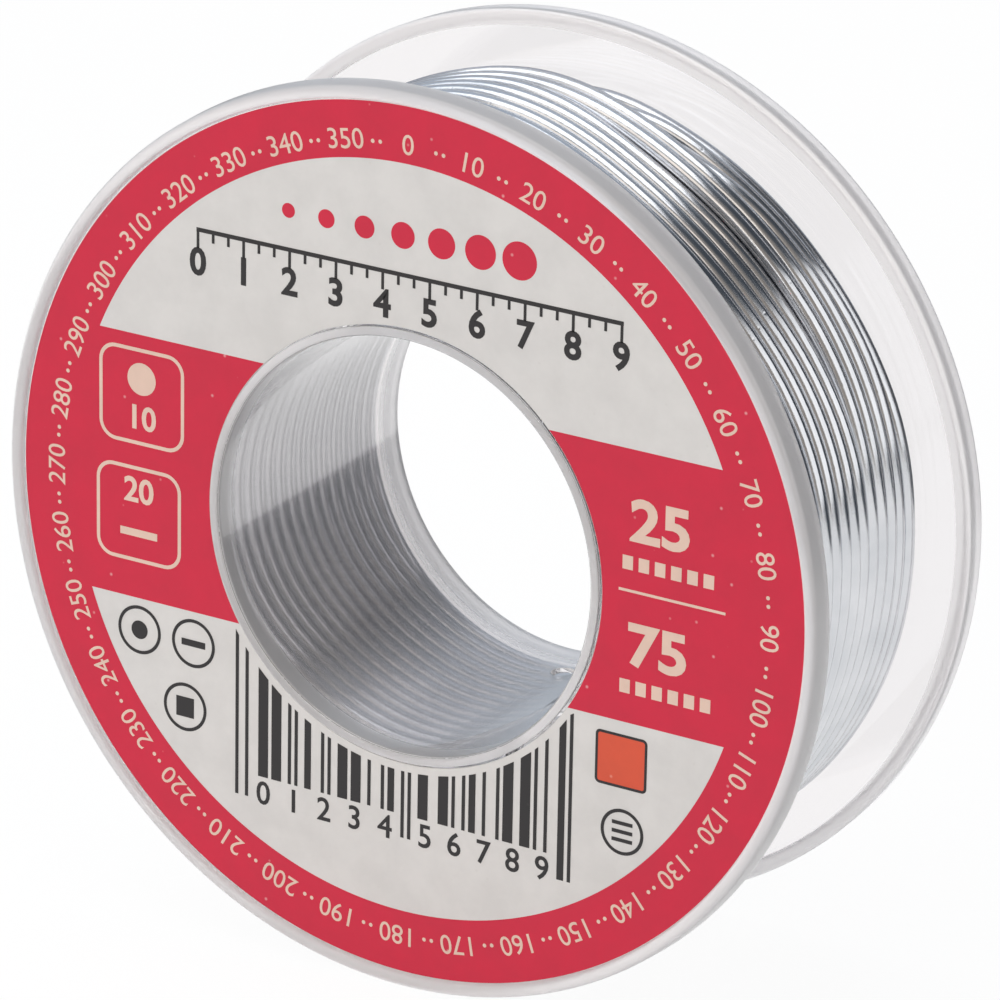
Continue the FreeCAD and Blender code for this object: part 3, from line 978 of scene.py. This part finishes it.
def print_dial(cream):
    """A dial of plain numbers round the ring, a number every ten degrees and dots between."""
    for index in range(36):
        angle = math.pi / 2 - index * DIAL_STEP
        dots = (angle - 0.44 * DIAL_STEP, angle - 0.56 * DIAL_STEP)
        number_place, *dot_places = on_circle((0, 0), DIAL_RADIUS, (angle, *dots))
        cream.number(str(index * 10), number_place, 1.12, turn=angle - math.pi / 2, bold=0.003)
        for place in dot_places:
            cream.disc(place, 0.12, 12)


def make_cream_print():
    cream = Print("label_cream_print", CREAM, PRINT_LIFT * 2)
    print_dial(cream)
    # Two framed numbers on the left
    cream.frame(-20.1, 2.3, -14.4, 8.0, 0.22, 1.1)
    cream.disc((-17.25, 6.2), 0.95)
    cream.number("10", (-17.25, 3.85), 1.35, bold=0.025)
    cream.frame(-20.3, -4.7, -14.6, 1.0, 0.22, 1.1)
    cream.number("20", (-17.45, -0.5), 1.4, bold=0.025)
    cream.box(-18.7, -3.2, -16.2, -2.75)
    # Two large numbers on the right, each over a row of blocks, with a rule between them
    for words, height in (("25", 4.7), ("75", -2.4)):
        cream.number(words, (16.2, height), 2.3, bold=0.03, stretch=1.15)
        for index in range(6):
            cream.box(13.9 + index, height - 2.75, 14.55 + index, height - 1.95)
    cream.box(13.7, 0.68, 20.3, 0.84)
    cream.finish()


def make_camera():
    data = bpy.data.cameras.new("camera")
    data.lens = LENS
    data.sensor_width = SENSOR
    data.sensor_fit = "HORIZONTAL"
    data.clip_start = 0.01
    data.clip_end = 20
    right = Vector((math.cos(CAMERA_AZIMUTH), math.sin(CAMERA_AZIMUTH), 0))
    back = Vector((math.sin(CAMERA_AZIMUTH) * math.cos(CAMERA_ELEVATION),
                   -math.cos(CAMERA_AZIMUTH) * math.cos(CAMERA_ELEVATION),
                   math.sin(CAMERA_ELEVATION)))
    up = back.cross(right)
    aim = Vector((0, -HALF_WIDTH, 0)) - right * FRONT_CENTRE_RIGHT - up * FRONT_CENTRE_UP
    camera = bpy.data.objects.new("camera", data)
    camera.matrix_world = Matrix((right, up, back)).transposed().to_4x4()
    camera.location = (aim + back * CAMERA_DISTANCE) * MM
    bpy.context.scene.collection.objects.link(camera)
    bpy.context.scene.camera = camera


def unreflected(tree):
    """1 for what the camera sees directly or through clear plastic, 0 for what is mirrored."""
    path = tree.nodes.new("ShaderNodeLightPath")
    camera_ray = path.outputs["Is Camera Ray"]
    seen = arithmetic(tree, "MAXIMUM", camera_ray, path.outputs["Is Transmission Ray"])
    straight = arithmetic(tree, "LESS_THAN", path.outputs["Glossy Depth"], 0.5)
    return product(tree, seen, straight), path


def make_floor():
    """A white table that ends behind the spool, where its reflections show a dark room."""
    material, tree, shader, output = new_material("pale_floor")
    straight, path = unreflected(tree)
    split = add(tree, "ShaderNodeSeparateXYZ", None, Vector=object_place(tree))
    on_table = blend(tree, split.outputs["Y"], (TABLE_EDGE - TABLE_EDGE_BLUR) * MM,
                     (TABLE_EDGE + TABLE_EDGE_BLUR) * MM, 1.0, 0.0, "SMOOTHSTEP")
    white = arithmetic(tree, "MAXIMUM", on_table, straight)
    scattered = path.outputs["Is Diffuse Ray"]
    albedo = arithmetic(tree, "ADD", product(tree, scattered, FLOOR_BOUNCE), FLOOR_SHADOW_SHARE)
    shade = add(tree, "ShaderNodeCombineColor", None, i0=albedo, i1=albedo, i2=albedo)
    tree.links.new(shade.outputs[0], shader.inputs["Base Color"])
    shader.inputs["Roughness"].default_value = 1.0
    shader.inputs["Specular IOR Level"].default_value = 0.0
    unscattered = arithmetic(tree, "SUBTRACT", 1.0, scattered)
    strength = product(tree, product(tree, white, unscattered), FLOOR_GLOW)
    glow = add(tree, "ShaderNodeEmission", None, Color=WHITE, Strength=strength)
    lit = add(tree, "ShaderNodeAddShader", None, i0=shader.outputs[0], i1=glow.outputs[0])
    dark = add(tree, "ShaderNodeEmission", None, Color=(*ROOM_COLOUR, 1), Strength=1.0)
    mix = add(tree, "ShaderNodeMixShader", None, Fac=white, i1=dark.outputs[0], i2=lit.outputs[0])
    tree.links.new(mix.outputs[0], output.inputs["Surface"])
    corners = [(x * FLOOR_REACH, y * FLOOR_REACH, FLOOR_HEIGHT)
               for x, y in ((-1, -1), (1, -1), (1, 1), (-1, 1))]
    mesh = mesh_from("floor", corners, [(0, 1, 2, 3)])
    floor = bpy.data.objects.new("floor", mesh)
    mesh.materials.append(material)
    bpy.context.scene.collection.objects.link(floor)


def make_world():
    """A white backdrop for the camera. All else sees a dim room, cool behind and warm in front."""
    world = bpy.data.worlds.new("studio")
    world.use_nodes = True
    tree = world.node_tree
    background = tree.nodes["Background"]
    straight, _ = unreflected(tree)
    direction = tree.nodes.new("ShaderNodeTexCoord").outputs["Generated"]
    split = add(tree, "ShaderNodeSeparateXYZ", None, Vector=direction)
    rightness = arithmetic(tree, "MULTIPLY_ADD", split.outputs["X"], 0.5, 0.5)
    backness = arithmetic(tree, "MULTIPLY_ADD", split.outputs["Y"], 0.5, 0.5)
    behind = ramp(tree, rightness, ((0.42, ROOM_LEFT_COLOUR), (0.66, ROOM_COLOUR)))
    frontward = ramp(tree, backness, ((0.1, 1.0), (0.45, 0.0)))
    room = mix_colours(tree, frontward, behind, (*ROOM_FRONT_COLOUR, 1))
    tree.links.new(mix_colours(tree, straight, room, WHITE), background.inputs["Color"])
    background.inputs["Strength"].default_value = 1.0
    bpy.context.scene.world = world


def make_softbox(name, place, aim, size, brightness, colour):
    """A lamp that faces from its place to its aim; brightness 1 is white where it is mirrored."""
    data = bpy.data.lights.new(name, "AREA")
    data.shape = "RECTANGLE"
    data.size, data.size_y = size[0] * MM, size[1] * MM
    data.energy = brightness * math.pi * data.size * data.size_y
    data.color = colour
    lamp = bpy.data.objects.new(name, data)
    lamp.location = Vector(place) * MM
    lamp.rotation_euler = (Vector(aim) - Vector(place)).to_track_quat("-Z", "Y").to_euler()
    lamp.visible_camera = False
    bpy.context.scene.collection.objects.link(lamp)


make_hub()
make_flange("clear_front_flange", "front_flange", -1)
make_flange("clear_back_flange", "back_flange", 1)
make_wire()
make_wire_start()
make_paper()
make_red_print()
make_dark_print()
make_orange_print()
make_cream_print()

make_camera()
make_floor()
make_world()
for lamp_settings in LAMPS:
    make_softbox(*lamp_settings)

scene = bpy.context.scene
scene.view_settings.view_transform = "Standard"
# Light has to pass many clear faces
scene.cycles.max_bounces = 32
scene.cycles.glossy_bounces = 16
scene.cycles.transmission_bounces = 24
scene.cycles.transparent_max_bounces = 24
